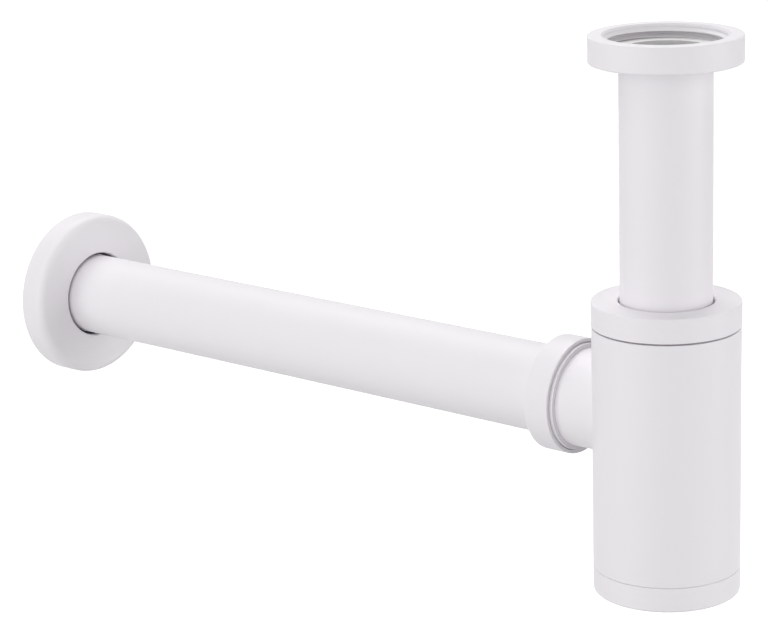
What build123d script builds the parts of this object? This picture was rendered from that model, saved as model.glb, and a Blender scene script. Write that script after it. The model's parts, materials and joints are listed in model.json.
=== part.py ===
from build123d import *
import os
from math import isclose

# Bottle trap for a wash basin, with a straight outlet pipe to the wall. Millimetres.
# +Z points up and +Y runs along the outlet pipe to the wall. The origin lies on the inlet's axis, on
# the washer's top face, where the end of the basin waste seats inside the union nut.

# Union nut, washer and inlet tube
tube_diameter = 32.0
tube_wall = 1.2
tube_end_chamfer = 0.3
flare_width = 3.175
flare_thickness = 1.2
flare_fillet = 0.5
washer_thickness = 1.6
washer_overhang = 0.3
thread_height = 1.48
union_wall = 5.4
union_height = 9.5
union_lip = 2.0
union_mouth_chamfer = 0.75
union_top_edge = 0.45
union_bottom_edge = 0.8
exposed_tube = 82.4
dip_clearance = 12.0

# Gland: ring nut, slip ring and cone seal round the inlet tube
collar_overhang = 0.2
collar_height = 8.7
collar_edge = 0.7
collar_seam_edge = 0.25
collar_bore_gap = 0.5
skirt_length = 8.0
gland_thread_height = 0.7
seam_gap = 0.6
gland_seal_width = 5.0
gland_seal_tip_width = 2.6
gland_seal_height = 5.0
gland_seal_proud = 1.0
neck_step = 1.0
neck_wall = 3.8

# Bottle and base cup
bottle_wall = 1.8
bottle_edge = 0.2
guide_length = 2.6
outlet_headroom = 0.8
sump_depth = 40.0
base_thread_step = 1.1
base_thread_length = 11.0
base_thread_height = 0.7
o_ring_section = 1.5
cup_seam = 0.1
cup_height = 9.0
cup_floor = 2.2
cup_bottom_edge = 1.0
cup_inner_fillet = 1.5
spigot_wall = 1.5
spigot_length = 9.4

# Side outlet: stub, compression nut, slip ring, cone seal and pipe
pipe_diameter = 32.0
pipe_wall = 1.2
pipe_length = 275.0
pipe_stop_gap = 5.0
stop_wall = 1.2
stub_wall = 1.35
stub_reach = 9.3
stub_thread_wall = 0.7
stub_thread_height = 0.55
stub_thread_length = 7.5
stub_land_shown = 1.2
stub_land_cover = 0.6
outlet_seal_width = 2.0
outlet_seal_tip_width = 0.9
outlet_seal_height = 4.4
outlet_seal_proud = 0.4
outlet_nut_wall = 1.3
outlet_nut_web = 2.3
outlet_nut_edge = 0.5

# Wall flange, the ring that grips the pipe, and the pipe's sized end in the wall
wall_entry = 13.0
sized_end_step = 0.2
sized_end_margin = 0.8
flange_reach = 16.8
flange_thickness = 10.8
flange_wall = 1.8
flange_inner_edge = 1.4
flange_bore_gap = 1.1
flange_bore_edge = 0.7
flange_back_edge = 0.3
hub_wall = 1.65
hub_setback = 2.8
grip_ring_section = 2.0

# Fits shared by the pieces
slip_ring_thickness = 1.2
guide_gap = 0.4
thread_gap = 0.3
socket_gap = 0.3
seal_gap = 0.05
ring_gap = 0.1

# Radii and heights of the inlet, from the washer's top face
tube_radius = tube_diameter / 2
tube_bore = tube_radius - tube_wall
guide_radius = tube_radius + guide_gap
flare_radius = tube_radius + flare_width
nut_seat_radius = flare_radius + thread_gap
thread_radius = nut_seat_radius + thread_height
union_radius = thread_radius + union_wall
flare_top = -washer_thickness
lip_top = flare_top - flare_thickness
union_bottom = lip_top - union_lip
union_top = union_bottom + union_height

# Radii and heights of the gland, from the collar down to the guide under the seal
seal_bore = tube_radius + seal_gap
gland_seal_radius = tube_radius + gland_seal_width
gland_tip_radius = tube_radius + gland_seal_tip_width
neck_bore = gland_seal_radius + neck_step
skirt_radius = neck_bore - thread_gap - gland_thread_height
bottle_radius = neck_bore + neck_wall
collar_radius = bottle_radius + collar_overhang
collar_bore = tube_radius + collar_bore_gap
collar_top = union_bottom - exposed_tube
collar_bottom = collar_top - collar_height
skirt_bottom = collar_bottom - skirt_length
gland_seal_top = skirt_bottom - slip_ring_thickness
gland_seat_top = gland_seal_top - gland_seal_proud
gland_seal_bottom = gland_seal_top - gland_seal_height
gland_seat_bottom = gland_seal_bottom - seal_gap
cavity_top = gland_seat_bottom - guide_length

# Radii and distances from the bottle's axis along the outlet
pipe_radius = pipe_diameter / 2
waterway = pipe_radius - pipe_wall
socket_radius = pipe_radius + socket_gap
outlet_height = cavity_top - outlet_headroom - waterway
stub_radius = socket_radius + stub_wall
stub_shoulder = bottle_radius + stub_reach
stub_end = stub_shoulder + stub_thread_length
socket_stop = bottle_radius + stop_wall
pipe_seal_bore = pipe_radius + seal_gap
outlet_seal_radius = pipe_radius + outlet_seal_width
outlet_tip_radius = pipe_radius + outlet_seal_tip_width
outlet_seal_end = stub_end + outlet_seal_proud
outlet_seal_start = outlet_seal_end - outlet_seal_height
outlet_seat_start = outlet_seal_start - seal_gap
stub_root_radius = outlet_seal_radius + seal_gap + stub_thread_wall
stub_land_radius = stub_root_radius + stub_thread_height
outlet_nut_bore = stub_land_radius + thread_gap
outlet_nut_radius = outlet_nut_bore + outlet_nut_wall
outlet_nut_start = stub_shoulder + stub_land_shown
stub_land_end = outlet_nut_start + stub_land_cover
outlet_web_start = outlet_seal_end + slip_ring_thickness
outlet_nut_end = outlet_web_start + outlet_nut_web
pipe_guide = pipe_radius + guide_gap
pipe_start = socket_stop + pipe_stop_gap
pipe_end = pipe_start + pipe_length

# Radii and distances of the wall flange and the pipe's sized end
wall_plane = pipe_end - wall_entry
flange_radius = pipe_radius + flange_reach
flange_front = wall_plane - flange_thickness
flange_bore = pipe_radius + flange_bore_gap
hub_end = wall_plane - hub_setback
grip_ring_radius = grip_ring_section / 2
grip_ring_middle = pipe_radius + seal_gap + grip_ring_radius
grip_ring_place = (flange_front + hub_end) / 2
groove_radius = grip_ring_middle + grip_ring_radius + ring_gap
groove_half_width = grip_ring_radius + ring_gap
hub_radius = groove_radius + hub_wall
sized_end_radius = pipe_radius - sized_end_step
sized_end_start = hub_end + sized_end_margin

# Radii and heights of the bottle's lower end and its base cup
cavity_radius = bottle_radius - bottle_wall
base_bore = cavity_radius - base_thread_step
bottle_top = collar_bottom - seam_gap
bottle_bottom = outlet_height - waterway - sump_depth
base_thread_top = bottle_bottom + base_thread_length
base_cone_top = base_thread_top + base_thread_step
cup_top = bottle_bottom - cup_seam
cup_bottom = cup_top - cup_height
cup_inside = cup_bottom + cup_floor
spigot_radius = base_bore - thread_gap - base_thread_height
spigot_bore = spigot_radius - spigot_wall
spigot_top = cup_top + spigot_length
o_ring_radius = o_ring_section / 2
o_ring_middle = spigot_radius + ring_gap + o_ring_radius
o_ring_place = cup_top + seal_gap + o_ring_radius
pocket_radius = o_ring_middle + o_ring_radius + ring_gap
pocket_top = o_ring_place + o_ring_radius + ring_gap
tube_end = cup_inside + dip_clearance

outlet_frame = Plane(origin=(0, 0, outlet_height), x_dir=(1, 0, 0), z_dir=(0, 1, 0))


def turned(*corners):
    """Solid turned about Z from the (radius, height) corners of one half of its section."""
    outline = Polyline(*[(radius, 0, height) for radius, height in corners], close=True)
    return revolve(make_face(outline), Axis.Z)


def circles(part, radius, height):
    """Circular edges of a turned part at one radius and height."""
    def matches(edge):
        if edge.geom_type != GeomType.CIRCLE:
            return False
        centre = edge.arc_center
        on_axis = isclose(centre.X, 0, abs_tol=1e-4) and isclose(centre.Y, 0, abs_tol=1e-4)
        same_height = isclose(centre.Z, height, abs_tol=1e-4)
        return on_axis and same_height and isclose(edge.radius, radius, abs_tol=1e-4)
    return part.edges().filter_by(matches)


def ring(inner, outer, low, high):
    """Plain ring about Z."""
    return turned((inner, low), (outer, low), (outer, high), (inner, high))


def basin_union_nut():
    """Round nut with a threaded mouth above and a lip that holds the tube's flare."""
    nut = turned(
        (guide_radius, union_bottom),
        (union_radius, union_bottom),
        (union_radius, union_top),
        (thread_radius, union_top),
        (thread_radius, 0),
        (nut_seat_radius, 0),
        (nut_seat_radius, lip_top),
        (guide_radius, lip_top),
    )
    nut = chamfer(circles(nut, thread_radius, union_top), union_mouth_chamfer)
    nut = chamfer(circles(nut, guide_radius, lip_top), flare_fillet + guide_gap)
    nut = fillet(circles(nut, union_radius, union_top), union_top_edge)
    return fillet(circles(nut, union_radius, union_bottom), union_bottom_edge)


def basin_washer():
    """Flat washer on the flare, reaching a little inside the tube's bore."""
    return ring(tube_bore - washer_overhang, flare_radius, flare_top, 0)


def inlet_tube():
    """Straight tube with a flared top, dipping almost to the base cup's floor."""
    tube = turned(
        (tube_bore, tube_end),
        (tube_radius, tube_end),
        (tube_radius, lip_top),
        (flare_radius, lip_top),
        (flare_radius, flare_top),
        (tube_bore, flare_top),
    )
    tube = fillet(circles(tube, tube_radius, lip_top), flare_fillet)
    return chamfer(circles(tube, tube_radius, tube_end), tube_end_chamfer)


def gland_nut():
    """Ring nut: a collar as wide as the bottle, and a skirt that screws into the neck."""
    nut = turned(
        (collar_bore, skirt_bottom),
        (skirt_radius, skirt_bottom),
        (skirt_radius, collar_bottom),
        (collar_radius, collar_bottom),
        (collar_radius, collar_top),
        (collar_bore, collar_top),
    )
    top_edges = circles(nut, collar_radius, collar_top) + circles(nut, collar_bore, collar_top)
    nut = fillet(top_edges, collar_edge)
    return fillet(circles(nut, collar_radius, collar_bottom), collar_seam_edge)


def gland_slip_ring():
    """Plastic ring that lets the gland nut turn without twisting the seal."""
    return ring(guide_radius, skirt_radius, gland_seal_top, skirt_bottom)


def gland_cone_seal():
    """Rubber seal with a tapered outside that the gland nut presses into the neck's seat."""
    return turned(
        (seal_bore, gland_seal_bottom),
        (gland_tip_radius, gland_seal_bottom),
        (gland_seal_radius, gland_seat_top),
        (gland_seal_radius, gland_seal_top),
        (seal_bore, gland_seal_top),
    )


def bottle_shell():
    """Turned bottle: threaded neck, cone seat, tube guide, chamber and threaded base."""
    shell = turned(
        (neck_bore, bottle_top),
        (bottle_radius, bottle_top),
        (bottle_radius, bottle_bottom),
        (pocket_radius, bottle_bottom),
        (pocket_radius, pocket_top),
        (base_bore, pocket_top),
        (base_bore, base_thread_top),
        (cavity_radius, base_cone_top),
        (cavity_radius, cavity_top),
        (guide_radius, cavity_top),
        (guide_radius, gland_seat_bottom),
        (gland_tip_radius + seal_gap, gland_seat_bottom),
        (gland_seal_radius + seal_gap, gland_seat_top),
        (neck_bore, gland_seat_top),
    )
    shell = fillet(circles(shell, bottle_radius, bottle_top), collar_seam_edge)
    return chamfer(circles(shell, bottle_radius, bottle_bottom), bottle_edge)


def outlet_stub():
    """Side outlet before it is joined to the bottle: plain stub, wider land and thread root."""
    return turned(
        (0, 0),
        (stub_radius, 0),
        (stub_radius, stub_shoulder),
        (stub_land_radius, stub_shoulder),
        (stub_land_radius, stub_land_end),
        (stub_root_radius, stub_land_end),
        (stub_root_radius, stub_end),
        (0, stub_end),
    )


def outlet_bore():
    """Inside of the side outlet: waterway, pipe socket and cone seat."""
    return turned(
        (0, 0),
        (waterway, 0),
        (waterway, socket_stop),
        (socket_radius, socket_stop),
        (socket_radius, outlet_seat_start),
        (outlet_tip_radius + seal_gap, outlet_seat_start),
        (outlet_seal_radius + seal_gap, stub_end),
        (0, stub_end),
    )


def bottle_body():
    """Bottle with its side outlet, in one piece."""
    chamber = ring(0, cavity_radius, bottle_bottom, bottle_top)
    stub = outlet_frame * outlet_stub() - chamber
    return bottle_shell() + stub - outlet_frame * outlet_bore()


def base_cup():
    """Cleaning cup with a threaded spigot that screws up into the bottle's base."""
    cup = turned(
        (0, cup_bottom),
        (bottle_radius, cup_bottom),
        (bottle_radius, cup_top),
        (spigot_radius, cup_top),
        (spigot_radius, spigot_top),
        (spigot_bore, spigot_top),
        (spigot_bore, cup_inside),
        (0, cup_inside),
    )
    cup = fillet(circles(cup, bottle_radius, cup_bottom), cup_bottom_edge)
    cup = fillet(circles(cup, spigot_bore, cup_inside), cup_inner_fillet)
    return chamfer(circles(cup, bottle_radius, cup_top), bottle_edge)


def base_o_ring():
    """Seal that lies on the cup's rim, in a pocket of the bottle's base."""
    return Pos(0, 0, o_ring_place) * Torus(o_ring_middle, o_ring_radius)


def outlet_nut():
    """Compression nut: a plain round cap with the pipe through its web."""
    nut = turned(
        (outlet_nut_bore, outlet_nut_start),
        (outlet_nut_radius, outlet_nut_start),
        (outlet_nut_radius, outlet_nut_end),
        (pipe_guide, outlet_nut_end),
        (pipe_guide, outlet_web_start),
        (outlet_nut_bore, outlet_web_start),
    )
    rims = circles(nut, outlet_nut_radius, outlet_nut_start) + circles(nut, outlet_nut_radius, outlet_nut_end)
    return outlet_frame * fillet(rims, outlet_nut_edge)


def outlet_slip_ring():
    """Plastic ring that lets the outlet nut turn without twisting the seal."""
    return outlet_frame * ring(pipe_guide, stub_root_radius, outlet_seal_end, outlet_web_start)


def outlet_cone_seal():
    """Rubber seal with a tapered outside, pressed into the mouth of the side outlet."""
    return outlet_frame * turned(
        (pipe_seal_bore, outlet_seal_start),
        (outlet_tip_radius, outlet_seal_start),
        (outlet_seal_radius, stub_end),
        (outlet_seal_radius, outlet_seal_end),
        (pipe_seal_bore, outlet_seal_end),
    )


def outlet_pipe():
    """Straight pipe through the flange, with a sized end for the sleeve in the wall."""
    pipe = turned(
        (waterway, pipe_start),
        (pipe_radius, pipe_start),
        (pipe_radius, sized_end_start),
        (sized_end_radius, sized_end_start),
        (sized_end_radius, pipe_end),
        (waterway, pipe_end),
    )
    ends = circles(pipe, pipe_radius, pipe_start) + circles(pipe, sized_end_radius, pipe_end)
    return outlet_frame * chamfer(ends, tube_end_chamfer)


def wall_flange():
    """Round cover, hollow at the back, with a hub that holds the grip ring."""
    flange = turned(
        (flange_bore, flange_front),
        (flange_radius, flange_front),
        (flange_radius, wall_plane),
        (flange_radius - flange_wall, wall_plane),
        (flange_radius - flange_wall, flange_front + flange_wall),
        (hub_radius, flange_front + flange_wall),
        (hub_radius, hub_end),
        (flange_bore, hub_end),
        (flange_bore, grip_ring_place + groove_half_width),
        (groove_radius, grip_ring_place + groove_half_width),
        (groove_radius, grip_ring_place - groove_half_width),
        (flange_bore, grip_ring_place - groove_half_width),
    )
    flange = fillet(circles(flange, flange_radius, flange_front), flange_inner_edge + flange_wall)
    inner_corner = circles(flange, flange_radius - flange_wall, flange_front + flange_wall)
    flange = fillet(inner_corner, flange_inner_edge)
    flange = fillet(circles(flange, flange_bore, flange_front), flange_bore_edge)
    return outlet_frame * fillet(circles(flange, flange_radius, wall_plane), flange_back_edge)


def flange_grip_ring():
    """Rubber ring in the flange's hub that holds the flange where it is put on the pipe."""
    return outlet_frame * Pos(0, 0, grip_ring_place) * Torus(grip_ring_middle, grip_ring_radius)


pieces = {
    "basin_union_nut": basin_union_nut,
    "basin_washer": basin_washer,
    "inlet_tube": inlet_tube,
    "gland_nut": gland_nut,
    "gland_slip_ring": gland_slip_ring,
    "gland_cone_seal": gland_cone_seal,
    "bottle_body": bottle_body,
    "base_cup": base_cup,
    "base_o_ring": base_o_ring,
    "outlet_nut": outlet_nut,
    "outlet_slip_ring": outlet_slip_ring,
    "outlet_cone_seal": outlet_cone_seal,
    "outlet_pipe": outlet_pipe,
    "wall_flange": wall_flange,
    "flange_grip_ring": flange_grip_ring,
}

os.makedirs("parts", exist_ok=True)
for node, make in pieces.items():
    export_step(make(), os.path.join("parts", node + ".step"))
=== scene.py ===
import json
from math import ceil, cos, pi, radians, sin, tan

import bmesh
import bpy
from bpy.props import FloatProperty, FloatVectorProperty, IntProperty, PointerProperty
from bpy.types import Operator, Panel, PropertyGroup
from mathutils import Matrix, Vector


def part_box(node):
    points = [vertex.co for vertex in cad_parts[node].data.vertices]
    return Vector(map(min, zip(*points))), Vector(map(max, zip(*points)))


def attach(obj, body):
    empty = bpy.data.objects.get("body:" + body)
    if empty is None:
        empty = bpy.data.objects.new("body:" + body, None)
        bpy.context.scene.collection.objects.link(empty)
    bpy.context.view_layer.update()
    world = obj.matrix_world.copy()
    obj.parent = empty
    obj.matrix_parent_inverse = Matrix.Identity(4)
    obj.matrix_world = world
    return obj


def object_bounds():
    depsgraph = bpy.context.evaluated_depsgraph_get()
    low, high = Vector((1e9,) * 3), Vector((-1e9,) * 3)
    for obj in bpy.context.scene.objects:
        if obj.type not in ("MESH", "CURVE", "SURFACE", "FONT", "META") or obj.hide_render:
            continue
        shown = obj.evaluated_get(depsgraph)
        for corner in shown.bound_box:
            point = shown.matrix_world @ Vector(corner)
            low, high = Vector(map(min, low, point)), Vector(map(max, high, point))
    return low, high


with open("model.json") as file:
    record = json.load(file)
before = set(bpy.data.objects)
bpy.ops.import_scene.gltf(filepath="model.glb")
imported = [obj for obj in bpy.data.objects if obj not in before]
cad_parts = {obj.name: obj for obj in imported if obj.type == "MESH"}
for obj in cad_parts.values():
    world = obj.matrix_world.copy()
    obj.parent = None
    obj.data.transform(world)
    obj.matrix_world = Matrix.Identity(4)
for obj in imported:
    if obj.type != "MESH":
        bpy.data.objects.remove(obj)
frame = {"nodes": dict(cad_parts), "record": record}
cad_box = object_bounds()

bl_info = {
    "name": "Basin Trap Finish",
    "version": (1, 0, 0),
    "blender": (4, 5, 0),
    "location": "3D View > Sidebar > Basin Trap",
    "description": "Coats a white basin trap, cuts its screw threads and lights it in a studio",
    "category": "Object",
}

# What the trap's solids say: colours, radii and heights, in metres
RECORD = frame["record"]
COLOURS = {entry["slot"]: entry["base_color"] for entry in RECORD["materials"]}
MOUNTS = {entry["name"]: entry for entry in RECORD["mounts"]}
MILLIMETRE = 0.001

_, NUT_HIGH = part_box("basin_union_nut")
_, WASHER_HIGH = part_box("basin_washer")
GLAND_LOW, GLAND_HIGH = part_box("gland_nut")
GLAND_RING_LOW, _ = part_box("gland_slip_ring")
BOTTLE_LOW, BOTTLE_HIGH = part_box("bottle_body")
_, CUP_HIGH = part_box("base_cup")
_, O_RING_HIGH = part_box("base_o_ring")
OUTLET_NUT_LOW, OUTLET_NUT_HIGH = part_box("outlet_nut")
OUTLET_RING_LOW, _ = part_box("outlet_slip_ring")
OUTLET_HEIGHT = MOUNTS["outlet_spigot"]["pos_m"][2]
TRAP_MIDDLE = (cad_box[0] + cad_box[1]) / 2

# Sockets of a Mix node in colour mode
MIX_FACTOR, MIX_FIRST, MIX_SECOND, MIX_RESULT = 0, 6, 7, 2

# Range that most of a noise's values lie in, and the octaves of a soft and of a crisp noise
NOISE_LOW, NOISE_HIGH = 0.3, 0.7
SOFT_DETAIL, CRISP_DETAIL = 2, 3

# Width of a ridge's crest as a share of the pitch, and its rounding as a share of that width
CREST_SHARE = 1 / 6
CREST_ROUNDING = 1 / 3
CREST_SEGMENTS = 2

# How deep a ridge's foot lies in its wall, as a share of the ridge's depth, and how many times that a
# lead-in cone reaches into the wall
FOOT_SINK = 1 / 10
LEAD_SPARE = 3

# Turns from the origin to a ridge: a screw's ridges lie midway between those of its bore
BORE_PHASE, SCREW_PHASE = 0, 0.5

# Shares of the pitch within which points are merged, and within which a point lies on a cut
MERGE_SHARE = 1 / 1000
CUT_SHARE = 1 / 10000

SMOOTH_ANGLE = radians(35)
SENSOR_WIDTH = 36
FLOOR_SQUARES = 8
WHITE = (1, 1, 1, 1)


def length(name, description, default):
    """Property that holds a size in metres."""
    return FloatProperty(
        name=name, description=description, default=default, precision=5, subtype="DISTANCE", unit="LENGTH"
    )


def share(name, description, default):
    """Property that holds a share from 0 to 1."""
    return FloatProperty(name=name, description=description, default=default, min=0, max=1, subtype="FACTOR")


def angle(name, description, degrees):
    """Property that holds an angle."""
    return FloatProperty(name=name, description=description, default=radians(degrees), subtype="ANGLE")


def colour(name, description, default):
    """Property that holds a linear colour."""
    return FloatVectorProperty(
        name=name, description=description, default=default, min=0, max=1, size=3, subtype="COLOR"
    )


def watts(name, description, default):
    """Property that holds a lamp's power."""
    return FloatProperty(name=name, description=description, default=default, min=0, subtype="POWER")


class TrapCoatSettings(PropertyGroup):
    """Satin white powder coat on the metal pieces."""

    tint: colour("Tint", "Colour of the coat", COLOURS["white_coat"])
    roughness: share("Roughness", "How far the coat scatters a highlight", 0.5)
    roughness_spread: share("Roughness spread", "How much the roughness wanders over the surface", 0.04)
    mottle: share("Mottle", "How much the coat's brightness wanders over the surface", 0.012)
    mottle_size: length("Mottle size", "Width of a patch where the coat is a little thicker", 0.018)
    peel_size: length("Peel size", "Width of one dimple of the coat's orange peel", 0.0016)
    peel_depth: length("Peel depth", "Depth of the coat's orange peel", 0.000006)
    # The next nine settings paint shade into the coat's colour: darker in the union nut's mouth, in the
    # recess behind the outlet nut and inside the tubes.
    mouth_painted_shade: share("Mouth painted shade", "Brightness of the shade painted in the union nut's mouth", 0.76)
    recess_painted_shade: share("Recess painted shade", "Brightness in the recess behind the outlet nut", 0.84)
    bore_painted_shade: share("Bore painted shade", "Brightness of the shade painted inside the tubes", 0.6)
    mouth_radius: length("Mouth radius", "Radius inside which shade is painted in the nut's mouth", 0.0212)
    mouth_top: length("Mouth top", "Height under which shade is painted in the nut's mouth", 0.0024)
    bore_radius: length("Bore radius", "Radius inside which shade is painted in the tubes", 0.0153)
    recess_width: length("Recess width", "From the stub's shoulder to the outlet nut's end face", 0.0012)
    land_radius: length("Land radius", "Radius of the stub's plain land between those two faces", 0.01935)
    face_depth: length("Face depth", "Depth to which shade is painted on a face of the recess", 0.0001)


class TrapFittingSettings(PropertyGroup):
    """Plastic rings and rubber seals."""

    washer_tint: colour("Washer", "Colour of the basin washer", COLOURS["washer_plastic"])
    ring_tint: colour("Slip rings", "Colour of the two slip rings", COLOURS["ring_plastic"])
    rubber_tint: colour("Rubber", "Colour of the seals and the rubber rings", COLOURS["seal_rubber"])
    plastic_roughness: share("Plastic roughness", "Roughness of the moulded plastic", 0.48)
    rubber_roughness: share("Rubber roughness", "Roughness of the moulded rubber", 0.7)
    grain_size: length("Grain size", "Width of the grain that the moulds leave", 0.0005)
    grain_depth: length("Grain depth", "Depth of the grain that the moulds leave", 0.000008)
    cloud_size: length("Cloud size", "Width of a patch that is a little darker or glossier", 0.006)
    cloud_shade: share("Cloud shade", "How much the brightness wanders from patch to patch", 0.04)
    cloud_gloss: share("Cloud gloss", "How much the roughness wanders from patch to patch", 0.06)


class TrapThreadSettings(PropertyGroup):
    """Screw threads. Each lies between two plain walls of the solids."""

    union_pitch: length("Union pitch", "Pitch of the basin thread in the union nut", 0.002309)
    union_depth: length("Union depth", "Depth of the basin thread in the union nut", 0.00148)
    union_mouth: length("Union mouth", "Width of the lead-in cone outside the thread", 0.00075)
    screw_pitch: length("Screw pitch", "Pitch of the gland nut and the base cup", 0.002)
    screw_space: length("Screw space", "Space from the gland's or cup's root to the bottle's wall", 0.001)
    outlet_pitch: length("Outlet pitch", "Pitch of the outlet nut", 0.0015)
    outlet_space: length("Outlet space", "Space from the stub's root to the outlet nut's wall", 0.00085)
    crest_clearance: length("Crest clearance", "Gap from a ridge's crest to the opposite wall", 0.00025)
    neck_wall: length("Neck wall", "Thickness of the bottle's neck round the gland thread", 0.0038)
    base_wall: length("Base wall", "Thickness of the bottle's base round the cup thread", 0.0029)
    outlet_nut_wall: length("Outlet nut wall", "Thickness of the outlet nut round its thread", 0.0013)
    collar_relief: length("Collar relief", "Plain stretch between the gland thread and the collar", 0.0008)
    collar_height: length("Collar height", "Height of the gland nut's collar above its skirt", 0.0087)
    land_length: length("Land length", "Plain land of the stub that the outlet nut covers", 0.0006)
    stub_proud: length("Seal proud", "How far the outlet's seal stands out of the stub", 0.0004)
    base_thread_length: length("Base thread", "Length of the thread in the bottle's base", 0.011)
    flank: angle("Flank", "Slope of a ridge's side", 28)
    segments: IntProperty(name="Segments", description="Flat faces in one turn", default=128, min=24)


class TrapStageSettings(PropertyGroup):
    """Camera, lamps and floor."""

    azimuth: angle("Azimuth", "Turn of the camera round the trap, from behind the bottle", -49.087)
    elevation: angle("Elevation", "Height of the camera over the horizon", 15.485)
    roll: angle("Roll", "Tilt of the camera", -1.74)
    lens: FloatProperty(
        name="Lens", description="Focal length in mm", default=127.455, subtype="DISTANCE_CAMERA"
    )
    distance: length("Distance", "From the camera to the picture's middle", 0.90764)
    left_of_nut: length("Left of nut", "Picture's middle, left of the union nut's top", 0.094093)
    below_nut: length("Below nut", "Picture's middle, below the union nut's top", 0.0939)
    floor_drop: length("Floor drop", "From the trap's lowest point down to the floor", 0.35)
    floor_size: length("Floor size", "Side of the square floor", 12.0)
    floor_tint: colour("Floor", "Colour of the floor", (0.6, 0.6, 0.6))
    floor_patch: length("Floor patch", "Width of a patch of the floor that is a little darker", 0.4)
    floor_mottle: share("Floor mottle", "How much the floor's brightness wanders", 0.01)
    floor_glow: share("Floor glow", "Glow that the camera sees under the trap, in its shadow", 0.38)
    shadow_reach: length("Shadow reach", "From the trap's middle to where the shadow starts to fade", 0.2)
    white_reach: length("White reach", "From the trap's middle to where the floor is plain white", 0.8)
    ambient: FloatProperty(
        name="Ambient", description="Strength of the room's even light", default=0.335, min=0
    )
    right_power: watts("Right lamp", "Power of the soft box on the camera's right", 4.3)
    left_power: watts("Left lamp", "Power of the soft box on the camera's left", 2.9)
    front_power: watts("Front lamp", "Power of the wide soft box beside the camera", 3.1)
    high_power: watts("High lamp", "Power of the soft box high on the left", 1.6)
    back_power: watts("Back lamp", "Power of the soft box high behind the trap", 5.8)
    low_left_power: watts("Low left lamp", "Power of the soft box low on the left", 1.1)
    low_right_power: watts("Low right lamp", "Power of the soft box low on the right", 0.8)


# Soft boxes: turn from the camera's azimuth and height over the horizon in degrees, then the distance from
# the trap, the width and the height in metres
SOFT_BOXES = {
    "right": (72, 10, 1.1, 0.5, 0.9),
    "left": (-72, 14, 1.1, 0.5, 0.9),
    "front": (-20, 10, 1.1, 0.8, 0.9),
    "high": (-50, 58, 1.1, 0.8, 0.6),
    "back": (180, 58, 1.1, 0.9, 0.6),
    "low_left": (-45, -8, 1.1, 0.8, 0.5),
    "low_right": (40, -8, 1.1, 0.8, 0.5),
}


def deselect_all():
    """Leaves nothing selected, in object mode."""
    if bpy.context.mode != "OBJECT":
        bpy.ops.object.mode_set(mode="OBJECT")
    bpy.ops.object.select_all(action="DESELECT")


def select_only(piece):
    """Leaves one piece selected and active, in object mode."""
    deselect_all()
    piece.select_set(True)
    bpy.context.view_layer.objects.active = piece


def select_where(piece, test):
    """Selects the edit mesh's vertices whose place passes the test."""
    mesh = bmesh.from_edit_mesh(piece.data)
    for vertex in mesh.verts:
        vertex.select = test(vertex.co)
    mesh.select_flush_mode()
    bmesh.update_edit_mesh(piece.data)


def apply_modifier(piece, kind, **values):
    """Adds a modifier to the active piece, sets it and applies it."""
    bpy.ops.object.modifier_add(type=kind)
    modifier = piece.modifiers[-1]
    for name, value in values.items():
        setattr(modifier, name, value)
    bpy.ops.object.modifier_apply(modifier=modifier.name)


def new_material(name):
    """Empty material and its node tree, with the output and the object's own coordinates in place."""
    material = bpy.data.materials.new(name)
    material.use_nodes = True
    tree = material.node_tree
    tree.nodes.clear()
    output = tree.nodes.new("ShaderNodeOutputMaterial")
    coordinates = tree.nodes.new("ShaderNodeTexCoord")
    return material, tree, output, coordinates.outputs["Object"]


def noise(tree, place, size, detail):
    """Noise whose patches are about one size across. Returns its value."""
    texture = tree.nodes.new("ShaderNodeTexNoise")
    texture.inputs["Scale"].default_value = 1 / size
    texture.inputs["Detail"].default_value = detail
    tree.links.new(place, texture.inputs["Vector"])
    return texture.outputs["Fac"]


def spread(tree, value, low, high):
    """Maps the middle of a noise's range to a range of its own."""
    mapping = tree.nodes.new("ShaderNodeMapRange")
    mapping.inputs["From Min"].default_value = NOISE_LOW
    mapping.inputs["From Max"].default_value = NOISE_HIGH
    mapping.inputs["To Min"].default_value = low
    mapping.inputs["To Max"].default_value = high
    tree.links.new(value, mapping.inputs["Value"])
    return mapping.outputs["Result"]


def colour_mix(tree, factor):
    """Mix node of two colours that follows a value from 0 to 1."""
    mix = tree.nodes.new("ShaderNodeMix")
    mix.data_type = "RGBA"
    tree.links.new(factor, mix.inputs[MIX_FACTOR])
    return mix


def shaded(tree, value, tint, amount):
    """Tint made a little darker or lighter by a value from 0 to 1."""
    mix = colour_mix(tree, value)
    mix.inputs[MIX_FIRST].default_value = [channel * (1 - amount) for channel in tint] + [1]
    mix.inputs[MIX_SECOND].default_value = [min(channel * (1 + amount), 1) for channel in tint] + [1]
    return mix.outputs[MIX_RESULT]


def sum_of(tree, operation, first, second):
    """Result of one sum on a value and a second value or number."""
    node = tree.nodes.new("ShaderNodeMath")
    node.operation = operation
    tree.links.new(first, node.inputs[0])
    if isinstance(second, bpy.types.NodeSocket):
        tree.links.new(second, node.inputs[1])
    else:
        node.inputs[1].default_value = second
    return node.outputs["Value"]


def off_axis(tree, place, keep, offset):
    """Distance from an axis: the length of a place's kept coordinates after an offset."""
    flat = tree.nodes.new("ShaderNodeVectorMath")
    flat.operation = "MULTIPLY_ADD"
    flat.inputs[1].default_value = keep
    flat.inputs[2].default_value = offset
    tree.links.new(place, flat.inputs[0])
    reach = tree.nodes.new("ShaderNodeVectorMath")
    reach.operation = "LENGTH"
    tree.links.new(flat.outputs["Vector"], reach.inputs[0])
    return reach.outputs["Value"]


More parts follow.
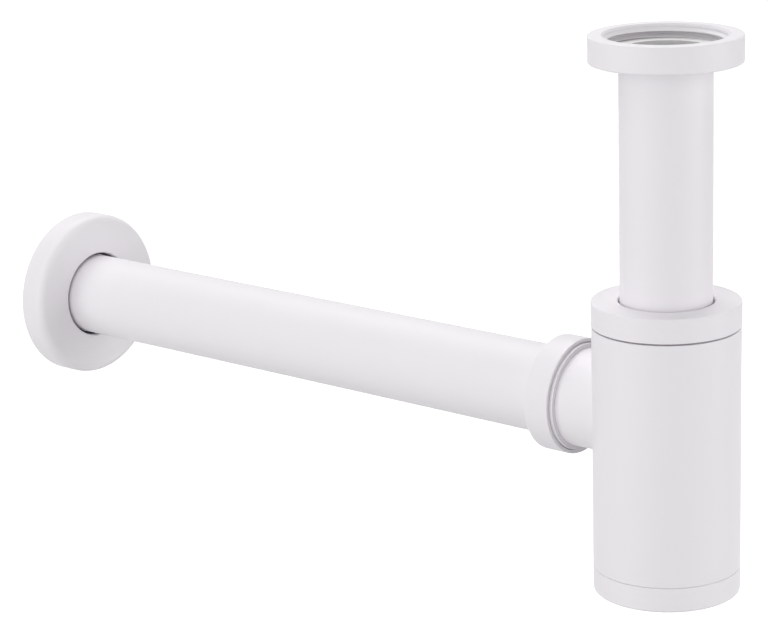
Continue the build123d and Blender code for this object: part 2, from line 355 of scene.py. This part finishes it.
def painted_shade_places(tree, place, settings):
    """Values that are 1 where shade is painted into the coat, in the union nut's mouth, the recess behind
    the outlet nut and the tubes, and 0 elsewhere, each with the coat's painted brightness there.
    """
    split = tree.nodes.new("ShaderNodeSeparateXYZ")
    tree.links.new(place, split.inputs["Vector"])
    along, height = split.outputs["Y"], split.outputs["Z"]
    from_inlet = off_axis(tree, place, (1, 1, 0), (0, 0, 0))
    from_outlet = off_axis(tree, place, (1, 0, 1), (0, 0, -OUTLET_HEIGHT))

    # Painted shade in the union nut's mouth, above the washer and below the lead-in cone.
    over_washer = sum_of(tree, "GREATER_THAN", height, WASHER_HIGH.z)
    under_lead = sum_of(tree, "LESS_THAN", height, settings.mouth_top)
    in_mouth = sum_of(tree, "LESS_THAN", from_inlet, settings.mouth_radius)
    in_mouth = sum_of(tree, "MULTIPLY", in_mouth, sum_of(tree, "MULTIPLY", over_washer, under_lead))

    # Painted shade on the faces of the recess between the stub's shoulder and the outlet nut's end face.
    nut_face = OUTLET_NUT_LOW.y + settings.face_depth
    shoulder = OUTLET_NUT_LOW.y - settings.recess_width - settings.face_depth
    past_shoulder = sum_of(tree, "GREATER_THAN", along, shoulder)
    before_nut = sum_of(tree, "LESS_THAN", along, nut_face)
    from_land = sum_of(tree, "SUBTRACT", from_outlet, settings.land_radius)
    from_land = sum_of(tree, "MULTIPLY", from_land, from_land)
    off_land = sum_of(tree, "GREATER_THAN", from_land, settings.face_depth ** 2)
    in_recess = sum_of(tree, "MULTIPLY", off_land, sum_of(tree, "MULTIPLY", past_shoulder, before_nut))

    # Painted shade inside the inlet tube and inside the outlet pipe past the bottle.
    past_bottle = sum_of(tree, "GREATER_THAN", along, BOTTLE_HIGH.x)
    in_inlet = sum_of(tree, "LESS_THAN", from_inlet, settings.bore_radius)
    in_outlet = sum_of(tree, "LESS_THAN", from_outlet, settings.bore_radius)
    in_outlet = sum_of(tree, "MULTIPLY", in_outlet, past_bottle)
    return (
        (in_mouth, settings.mouth_painted_shade),
        (in_recess, settings.recess_painted_shade),
        (sum_of(tree, "MAXIMUM", in_inlet, in_outlet), settings.bore_painted_shade),
    )


def raised(tree, value, depth):
    """Normal of a surface that a value raises by a depth."""
    bump = tree.nodes.new("ShaderNodeBump")
    bump.inputs["Strength"].default_value = 1
    bump.inputs["Distance"].default_value = depth
    tree.links.new(value, bump.inputs["Height"])
    return bump.outputs["Normal"]


def white_coat(settings):
    """Satin white powder coat with a faint orange peel, and shade painted into its colour in the union nut's
    mouth, the outlet's recess and the tubes.
    """
    material, tree, output, place = new_material("white_powder_coat")
    shader = tree.nodes.new("ShaderNodeBsdfPrincipled")
    patches = noise(tree, place, settings.mottle_size, CRISP_DETAIL)
    peel = noise(tree, place, settings.peel_size, SOFT_DETAIL)
    low = settings.roughness - settings.roughness_spread
    high = settings.roughness + settings.roughness_spread
    coat = shaded(tree, patches, settings.tint, settings.mottle)
    # Paints shade into the coat: a darker copy of the tint in each place that the masks mark.
    for inside, brightness in painted_shade_places(tree, place, settings):
        painted_shade_tint = [channel * brightness for channel in settings.tint]
        mix = colour_mix(tree, inside)
        tree.links.new(coat, mix.inputs[MIX_FIRST])
        tree.links.new(shaded(tree, patches, painted_shade_tint, settings.mottle), mix.inputs[MIX_SECOND])
        coat = mix.outputs[MIX_RESULT]
    tree.links.new(coat, shader.inputs["Base Color"])
    tree.links.new(spread(tree, patches, low, high), shader.inputs["Roughness"])
    tree.links.new(raised(tree, peel, settings.peel_depth), shader.inputs["Normal"])
    tree.links.new(shader.outputs["BSDF"], output.inputs["Surface"])
    return material


def moulded(name, tint, roughness, settings):
    """Moulded plastic or rubber with the fine grain of its mould."""
    material, tree, output, place = new_material(name)
    shader = tree.nodes.new("ShaderNodeBsdfPrincipled")
    grain = noise(tree, place, settings.grain_size, CRISP_DETAIL)
    clouds = noise(tree, place, settings.cloud_size, SOFT_DETAIL)
    low = roughness - settings.cloud_gloss
    high = roughness + settings.cloud_gloss
    tree.links.new(shaded(tree, clouds, tint, settings.cloud_shade), shader.inputs["Base Color"])
    tree.links.new(spread(tree, clouds, low, high), shader.inputs["Roughness"])
    tree.links.new(raised(tree, grain, settings.grain_depth), shader.inputs["Normal"])
    tree.links.new(shader.outputs["BSDF"], output.inputs["Surface"])
    return material


def nodes_of(slot):
    """Names of the solids that take their finish from one slot."""
    return [entry["node"] for entry in RECORD["subparts"] if entry["material_slot"] == slot]


def dress(slot, material):
    """Gives one material to every solid of a slot."""
    for name in nodes_of(slot):
        for material_slot in frame["nodes"][name].material_slots:
            material_slot.material = material


def thread_section(foot, crest, height, flank, crest_width):
    """Wire outline of one ridge's section in the XZ plane, with rounded crest corners."""
    deselect_all()
    depth = abs(crest - foot)
    foot_width = crest_width + 2 * depth * tan(flank)
    bpy.ops.mesh.primitive_plane_add(size=1, rotation=(pi / 2, 0, 0))
    bpy.ops.object.transform_apply(location=True, rotation=True, scale=True)
    section = bpy.context.object
    bpy.ops.object.mode_set(mode="EDIT")
    bpy.ops.mesh.select_mode(type="VERT")
    bpy.ops.mesh.select_all(action="SELECT")
    bpy.ops.transform.resize(value=(depth, 1, foot_width), center_override=(0, 0, 0))
    bpy.ops.transform.translate(value=((foot + crest) / 2, 0, height))
    select_where(section, lambda place: abs(place.x - crest) < depth / 2)
    bpy.ops.transform.resize(value=(1, 1, crest_width / foot_width), center_override=(crest, 0, height))
    bpy.ops.mesh.bevel(offset=crest_width * CREST_ROUNDING, segments=CREST_SEGMENTS, affect="VERTICES")
    bpy.ops.mesh.select_all(action="SELECT")
    bpy.ops.mesh.delete(type="ONLY_FACE")
    bpy.ops.object.mode_set(mode="OBJECT")
    return section


def helical_ridge(name, foot, crest, low, high, pitch, phase, settings):
    """Right-hand helical ridge about Z from a foot radius to a crest radius, cut flat at two heights.

    The phase counts from the trap's origin, so ridges half a pitch apart stay clear of each other.
    """
    crest_width = pitch * CREST_SHARE
    first = (low // pitch - 2 + phase) * pitch
    turns = ceil((high - first) / pitch) + 1
    ridge = thread_section(foot, crest, first, settings.flank, crest_width)
    ridge.name = name
    ridge.data.name = name
    steps = settings.segments
    apply_modifier(
        ridge,
        "SCREW",
        axis="Z",
        angle=2 * pi,
        screw_offset=pitch,
        iterations=turns,
        steps=steps,
        render_steps=steps,
        use_merge_vertices=False,
    )
    bpy.ops.object.mode_set(mode="EDIT")
    bpy.ops.mesh.select_all(action="SELECT")
    bpy.ops.mesh.remove_doubles(threshold=pitch * MERGE_SHARE)
    bpy.ops.mesh.fill_holes(sides=0)
    bpy.ops.mesh.select_all(action="SELECT")
    bpy.ops.mesh.normals_make_consistent(inside=False)
    for height, outward in ((high, 1), (low, -1)):
        bpy.ops.mesh.select_all(action="SELECT")
        bpy.ops.mesh.bisect(
            plane_co=(0, 0, height),
            plane_no=(0, 0, outward),
            use_fill=True,
            clear_outer=True,
            threshold=pitch * CUT_SHARE,
        )
    bpy.ops.object.mode_set(mode="OBJECT")
    return ridge


def cone_between(wide, narrow, wide_height, narrow_height, segments):
    """Cone that tapers from a wide end to a narrow end, as a tool for a lead-in cut."""
    deselect_all()
    upward = wide_height > narrow_height
    bpy.ops.mesh.primitive_cone_add(
        vertices=segments,
        radius1=narrow if upward else wide,
        radius2=wide if upward else narrow,
        depth=abs(wide_height - narrow_height),
        location=(0, 0, (wide_height + narrow_height) / 2),
    )
    return bpy.context.object


def cut_lead(ridge, tool, keep_inside):
    """Cuts the first turn of a ridge to a cone, and removes the tool."""
    select_only(ridge)
    operation = "INTERSECT" if keep_inside else "DIFFERENCE"
    apply_modifier(ridge, "BOOLEAN", object=tool, operation=operation, solver="EXACT")
    bpy.data.objects.remove(tool)


def finish_ridge(ridge, body, along_outlet=False):
    """Smooths a ridge, turns it to the outlet if it belongs there, coats it and lets it ride."""
    select_only(ridge)
    if along_outlet:
        ridge.rotation_euler = (-pi / 2, 0, 0)
        ridge.location = (0, 0, OUTLET_HEIGHT)
        bpy.ops.object.transform_apply(location=True, rotation=True, scale=True)
    bpy.ops.object.shade_smooth_by_angle(angle=SMOOTH_ANGLE)
    ridge.data.materials.append(bpy.data.materials["white_powder_coat"])
    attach(ridge, body)


def inside_thread(name, body, wall, depth, low, high, lead_height, pitch, settings, along_outlet=False):
    """Thread in a bore: ridges stand inwards from the wall, and a cone opens the end that a screw enters."""
    crest = wall - depth
    sunk = depth * FOOT_SINK
    ridge = helical_ridge(name, wall + sunk, crest, low, high, pitch, BORE_PHASE, settings)
    outward = 1 if lead_height > (low + high) / 2 else -1
    wide, narrow = wall + LEAD_SPARE * sunk, crest - sunk
    start = lead_height + outward * sunk
    tool = cone_between(wide, narrow, start, start - outward * (wide - narrow), settings.segments)
    cut_lead(ridge, tool, keep_inside=False)
    finish_ridge(ridge, body, along_outlet)


def outside_thread(name, body, root, depth, low, high, lead_height, pitch, settings, along_outlet=False):
    """Thread on a screw: ridges stand outwards from the root, and a cone tapers the end that goes first."""
    crest = root + depth
    sunk = depth * FOOT_SINK
    ridge = helical_ridge(name, root - sunk, crest, low, high, pitch, SCREW_PHASE, settings)
    outward = 1 if lead_height > (low + high) / 2 else -1
    narrow, past_ridge = root - LEAD_SPARE * sunk, 2 * (high - low)
    start = lead_height + outward * sunk
    tool = cone_between(
        narrow + past_ridge, narrow, start - outward * past_ridge, start, settings.segments
    )
    cut_lead(ridge, tool, keep_inside=True)
    finish_ridge(ridge, body, along_outlet)


class TRAP_OT_coat_metal(Operator):
    """Coat the nuts, tubes, bottle, cup and flange with white powder"""

    bl_idname = "trap.coat_metal"
    bl_label = "Coat Metal"

    def execute(self, context):
        dress("white_coat", white_coat(context.scene.trap_coat))
        return {"FINISHED"}


class TRAP_OT_finish_fittings(Operator):
    """Give the washer, the slip rings and the seals their plastic and rubber"""

    bl_idname = "trap.finish_fittings"
    bl_label = "Finish Washer, Rings and Seals"

    def execute(self, context):
        settings = context.scene.trap_fittings
        plastic, rubber = settings.plastic_roughness, settings.rubber_roughness
        dress("washer_plastic", moulded("washer_plastic", settings.washer_tint, plastic, settings))
        dress("ring_plastic", moulded("slip_ring_plastic", settings.ring_tint, plastic, settings))
        dress("seal_rubber", moulded("seal_rubber", settings.rubber_tint, rubber, settings))
        return {"FINISHED"}


class TRAP_OT_cut_union_thread(Operator):
    """Cut the basin thread in the mouth of the union nut"""

    bl_idname = "trap.cut_union_thread"
    bl_label = "Cut Union Thread"

    def execute(self, context):
        settings = context.scene.trap_threads
        wall = MOUNTS["basin_union"]["dims"]["r_mm"] * MILLIMETRE
        lead = NUT_HIGH.z - settings.union_mouth
        inside_thread(
            "union_nut_thread", "basin_nut", wall, settings.union_depth, WASHER_HIGH.z, lead, lead,
            settings.union_pitch, settings,
        )
        return {"FINISHED"}


class TRAP_OT_cut_gland_threads(Operator):
    """Cut the threads of the bottle's neck and the gland nut"""

    bl_idname = "trap.cut_gland_threads"
    bl_label = "Cut Gland Threads"

    def execute(self, context):
        settings = context.scene.trap_threads
        wall = BOTTLE_HIGH.x - settings.neck_wall
        root = wall - settings.screw_space
        depth = settings.screw_space - settings.crest_clearance
        inside_thread(
            "neck_thread", "bottle", wall, depth, GLAND_RING_LOW.z, BOTTLE_HIGH.z, BOTTLE_HIGH.z,
            settings.screw_pitch, settings,
        )
        skirt_top = GLAND_HIGH.z - settings.collar_height - settings.collar_relief
        outside_thread(
            "gland_nut_thread", "gland_screw", root, depth, GLAND_LOW.z, skirt_top, GLAND_LOW.z,
            settings.screw_pitch, settings,
        )
        return {"FINISHED"}


class TRAP_OT_cut_base_threads(Operator):
    """Cut the threads of the bottle's base and the cup's spigot"""

    bl_idname = "trap.cut_base_threads"
    bl_label = "Cut Base Threads"

    def execute(self, context):
        settings = context.scene.trap_threads
        wall = BOTTLE_HIGH.x - settings.base_wall
        root = wall - settings.screw_space
        depth = settings.screw_space - settings.crest_clearance
        low = O_RING_HIGH.z + settings.crest_clearance
        inside_thread(
            "base_thread", "bottle", wall, depth, low, BOTTLE_LOW.z + settings.base_thread_length, low,
            settings.screw_pitch, settings,
        )
        outside_thread(
            "cup_thread", "cup_screw", root, depth, low, CUP_HIGH.z, CUP_HIGH.z,
            settings.screw_pitch, settings,
        )
        return {"FINISHED"}


class TRAP_OT_cut_outlet_threads(Operator):
    """Cut the threads of the side outlet and its nut"""

    bl_idname = "trap.cut_outlet_threads"
    bl_label = "Cut Outlet Threads"

    def execute(self, context):
        settings = context.scene.trap_threads
        wall = OUTLET_NUT_HIGH.x - settings.outlet_nut_wall
        root = wall - settings.outlet_space
        depth = settings.outlet_space - settings.crest_clearance
        land_end = OUTLET_NUT_LOW.y + settings.land_length
        start = land_end + settings.crest_clearance
        inside_thread(
            "outlet_nut_thread", "outlet_screw", wall, depth, start, OUTLET_RING_LOW.y, start,
            settings.outlet_pitch, settings, along_outlet=True,
        )
        stub_end = OUTLET_RING_LOW.y - settings.stub_proud
        outside_thread(
            "stub_thread", "bottle", root, depth, land_end, stub_end, stub_end,
            settings.outlet_pitch, settings, along_outlet=True,
        )
        return {"FINISHED"}


def direction(azimuth, elevation):
    """Unit vector from the trap to a place round and above it."""
    return Vector((sin(azimuth) * cos(elevation), -cos(azimuth) * cos(elevation), sin(elevation)))


def picture_axes(stage):
    """Right, up and back of the camera, as unit vectors."""
    back = direction(stage.azimuth, stage.elevation)
    level = Vector((cos(stage.azimuth), sin(stage.azimuth), 0))
    upright = back.cross(level)
    right = cos(stage.roll) * level + sin(stage.roll) * upright
    return right, back.cross(right), back


def place_camera(stage):
    """Camera that frames the trap with the union nut at the upper right."""
    right, up, back = picture_axes(stage)
    middle = Vector((0, 0, NUT_HIGH.z)) - right * stage.left_of_nut - up * stage.below_nut
    data = bpy.data.cameras.new("picture_camera")
    data.lens = stage.lens
    data.sensor_width = SENSOR_WIDTH
    camera = bpy.data.objects.new("picture_camera", data)
    bpy.context.scene.collection.objects.link(camera)
    turn = Matrix((right, up, back)).transposed().to_4x4()
    camera.matrix_world = Matrix.Translation(middle + back * stage.distance) @ turn
    bpy.context.scene.camera = camera


def place_soft_box(name, power, stage):
    """Rectangular lamp turned to the middle of the trap."""
    turn, height, distance, width, tall = SOFT_BOXES[name]
    outward = direction(stage.azimuth + radians(turn), radians(height))
    data = bpy.data.lights.new(name + "_soft_box", "AREA")
    data.shape = "RECTANGLE"
    data.size = width
    data.size_y = tall
    data.energy = power
    lamp = bpy.data.objects.new(name + "_soft_box", data)
    bpy.context.scene.collection.objects.link(lamp)
    lamp.location = TRAP_MIDDLE + outward * distance
    lamp.rotation_euler = outward.to_track_quat("Z", "Y").to_euler()


def seen_directly(tree):
    """Value that is 1 for rays from the camera, a mirror or a glass, and 0 for the others."""
    path = tree.nodes.new("ShaderNodeLightPath").outputs
    camera_or_mirror = sum_of(tree, "MAXIMUM", path["Is Camera Ray"], path["Is Glossy Ray"])
    return sum_of(tree, "MAXIMUM", camera_or_mirror, path["Is Transmission Ray"])


def white_room(stage):
    """World that looks white and lights the trap evenly."""
    world = bpy.data.worlds.new("white_room")
    bpy.context.scene.world = world
    world.use_nodes = True
    tree = world.node_tree
    tree.nodes.clear()
    output = tree.nodes.new("ShaderNodeOutputWorld")
    mix = tree.nodes.new("ShaderNodeMixShader")
    light = tree.nodes.new("ShaderNodeBackground")
    light.inputs["Color"].default_value = WHITE
    light.inputs["Strength"].default_value = stage.ambient
    white = tree.nodes.new("ShaderNodeBackground")
    white.inputs["Color"].default_value = WHITE
    white.inputs["Strength"].default_value = 1
    tree.links.new(seen_directly(tree), mix.inputs["Fac"])
    tree.links.new(light.outputs["Background"], mix.inputs[1])
    tree.links.new(white.outputs["Background"], mix.inputs[2])
    tree.links.new(mix.outputs["Shader"], output.inputs["Surface"])


def floor_material(stage):
    """Pale floor that the camera sees as white where no shadow falls."""
    material, tree, output, place = new_material("pale_floor")
    paint = tree.nodes.new("ShaderNodeBsdfDiffuse")
    patches = noise(tree, place, stage.floor_patch, SOFT_DETAIL)
    tree.links.new(shaded(tree, patches, stage.floor_tint, stage.floor_mottle), paint.inputs["Color"])
    glow = tree.nodes.new("ShaderNodeEmission")
    fade = tree.nodes.new("ShaderNodeMapRange")
    fade.interpolation_type = "SMOOTHSTEP"
    fade.inputs["From Min"].default_value = stage.shadow_reach
    fade.inputs["From Max"].default_value = stage.white_reach
    fade.inputs["To Min"].default_value = stage.floor_glow
    fade.inputs["To Max"].default_value = 1
    tree.links.new(off_axis(tree, place, (1, 1, 0), (0, 0, 0)), fade.inputs["Value"])
    tree.links.new(fade.outputs["Result"], glow.inputs["Strength"])
    both = tree.nodes.new("ShaderNodeAddShader")
    tree.links.new(paint.outputs["BSDF"], both.inputs[0])
    tree.links.new(glow.outputs["Emission"], both.inputs[1])
    mix = tree.nodes.new("ShaderNodeMixShader")
    tree.links.new(seen_directly(tree), mix.inputs["Fac"])
    tree.links.new(paint.outputs["BSDF"], mix.inputs[1])
    tree.links.new(both.outputs["Shader"], mix.inputs[2])
    tree.links.new(mix.outputs["Shader"], output.inputs["Surface"])
    return material


def lay_floor(stage):
    """Square pale floor under the trap."""
    deselect_all()
    bpy.ops.mesh.primitive_grid_add(
        x_subdivisions=FLOOR_SQUARES,
        y_subdivisions=FLOOR_SQUARES,
        size=stage.floor_size,
        location=(TRAP_MIDDLE.x, TRAP_MIDDLE.y, cad_box[0].z - stage.floor_drop),
    )
    floor = bpy.context.object
    floor.name = "studio_floor"
    floor.data.materials.append(floor_material(stage))


class TRAP_OT_set_stage(Operator):
    """Lay the floor, hang the lamps and place the camera"""

    bl_idname = "trap.set_stage"
    bl_label = "Set Stage"

    def execute(self, context):
        stage = context.scene.trap_stage
        context.scene.view_settings.view_transform = "Standard"
        white_room(stage)
        lay_floor(stage)
        for name in SOFT_BOXES:
            place_soft_box(name, getattr(stage, name + "_power"), stage)
        place_camera(stage)
        return {"FINISHED"}


STEPS = (
    TRAP_OT_coat_metal,
    TRAP_OT_finish_fittings,
    TRAP_OT_cut_union_thread,
    TRAP_OT_cut_gland_threads,
    TRAP_OT_cut_base_threads,
    TRAP_OT_cut_outlet_threads,
    TRAP_OT_set_stage,
)

SETTINGS = {
    "trap_coat": TrapCoatSettings,
    "trap_fittings": TrapFittingSettings,
    "trap_threads": TrapThreadSettings,
    "trap_stage": TrapStageSettings,
}


class VIEW3D_PT_basin_trap(Panel):
    """Steps and settings of the basin trap"""

    bl_label = "Basin Trap"
    bl_space_type = "VIEW_3D"
    bl_region_type = "UI"
    bl_category = "Basin Trap"

    def draw(self, context):
        for step in STEPS:
            self.layout.operator(step.bl_idname)
        for name, group in SETTINGS.items():
            column = self.layout.box().column()
            column.label(text=group.__doc__)
            for setting in group.__annotations__:
                column.prop(getattr(context.scene, name), setting)


def register():
    for group in SETTINGS.values():
        bpy.utils.register_class(group)
    for name, group in SETTINGS.items():
        setattr(bpy.types.Scene, name, PointerProperty(type=group))
    for step in STEPS:
        bpy.utils.register_class(step)
    bpy.utils.register_class(VIEW3D_PT_basin_trap)


def unregister():
    bpy.utils.unregister_class(VIEW3D_PT_basin_trap)
    for step in reversed(STEPS):
        bpy.utils.unregister_class(step)
    for name, group in SETTINGS.items():
        delattr(bpy.types.Scene, name)
        bpy.utils.unregister_class(group)


def main():
    register()
    bpy.ops.trap.coat_metal()
    bpy.ops.trap.finish_fittings()
    bpy.ops.trap.cut_union_thread()
    bpy.ops.trap.cut_gland_threads()
    bpy.ops.trap.cut_base_threads()
    bpy.ops.trap.cut_outlet_threads()
    bpy.ops.trap.set_stage()


if __name__ == "__main__":
    main()
